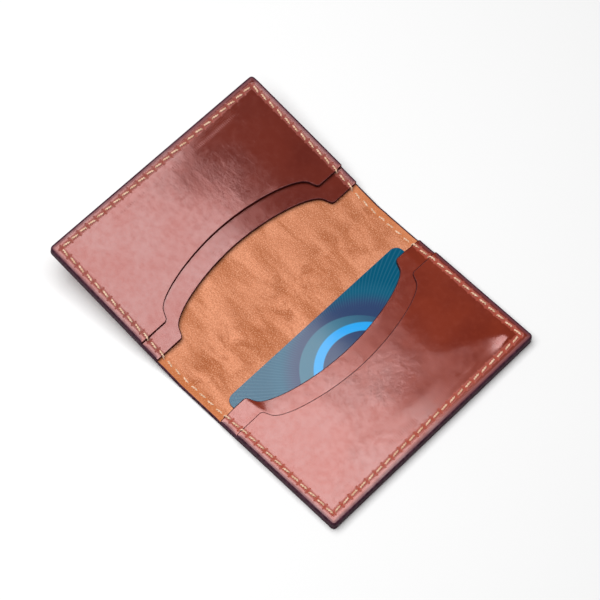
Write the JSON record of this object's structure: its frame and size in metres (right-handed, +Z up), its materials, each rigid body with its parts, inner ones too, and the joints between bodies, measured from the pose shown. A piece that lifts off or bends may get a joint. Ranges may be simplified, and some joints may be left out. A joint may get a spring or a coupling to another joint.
{
  "type": "card holder",
  "caption": "Bifold leather card holder lying open, with layered stitched pockets on both leaves, thumb notches and a card in one pocket.",
  "frame": {"origin": "middle of the spine, on the flat face that rests on the table", "axes": "+Z up, the fold along Y, leaf A (empty, a little raised) on the -X side, leaf B (flat, holding the card) on the +X side"},
  "size_m": [0.141, 0.1, 0.0174],
  "materials": {
    "shell_leather": "red-brown grain outside, orange-tan suede inside",
    "pocket_leather": "glossy chestnut, dark painted edges",
    "card_plastic": "satin printed card",
    "thread": "waxed pale gold thread"
  },
  "bodies": {
    "spine": {"outer_shell_spine": "shell_leather", "thread_top_spine": "thread", "thread_under_spine": "thread"},
    "leaf_a": {"outer_shell_leaf_a": "shell_leather", "pocket_rear_a": "pocket_leather", "pocket_front_a": "pocket_leather", "thread_top_a": "thread", "thread_under_a": "thread"},
    "leaf_b": {"outer_shell_leaf_b": "shell_leather", "pocket_rear_b": "pocket_leather", "pocket_front_b": "pocket_leather", "thread_top_b": "thread", "thread_under_b": "thread"},
    "card": {"card": "card_plastic"}
  },
  "joints": [
    {"name": "leaf_a_fold", "type": "hinge", "parent": "spine", "child": "leaf_a", "pos_m": [-0.00446, 0, 0.00139], "axis": [0, 1, 0], "range_deg": [-11.2, 78.8]},
    {"name": "leaf_b_fold", "type": "hinge", "parent": "spine", "child": "leaf_b", "pos_m": [0.00446, 0, 0.00139], "axis": [0, -1, 0], "range_deg": [0, 90]},
    {"name": "card_slide", "type": "slide", "parent": "leaf_b", "child": "card", "axis": [-1, 0, 0], "range_m": [0, 0.006]}
  ]
}
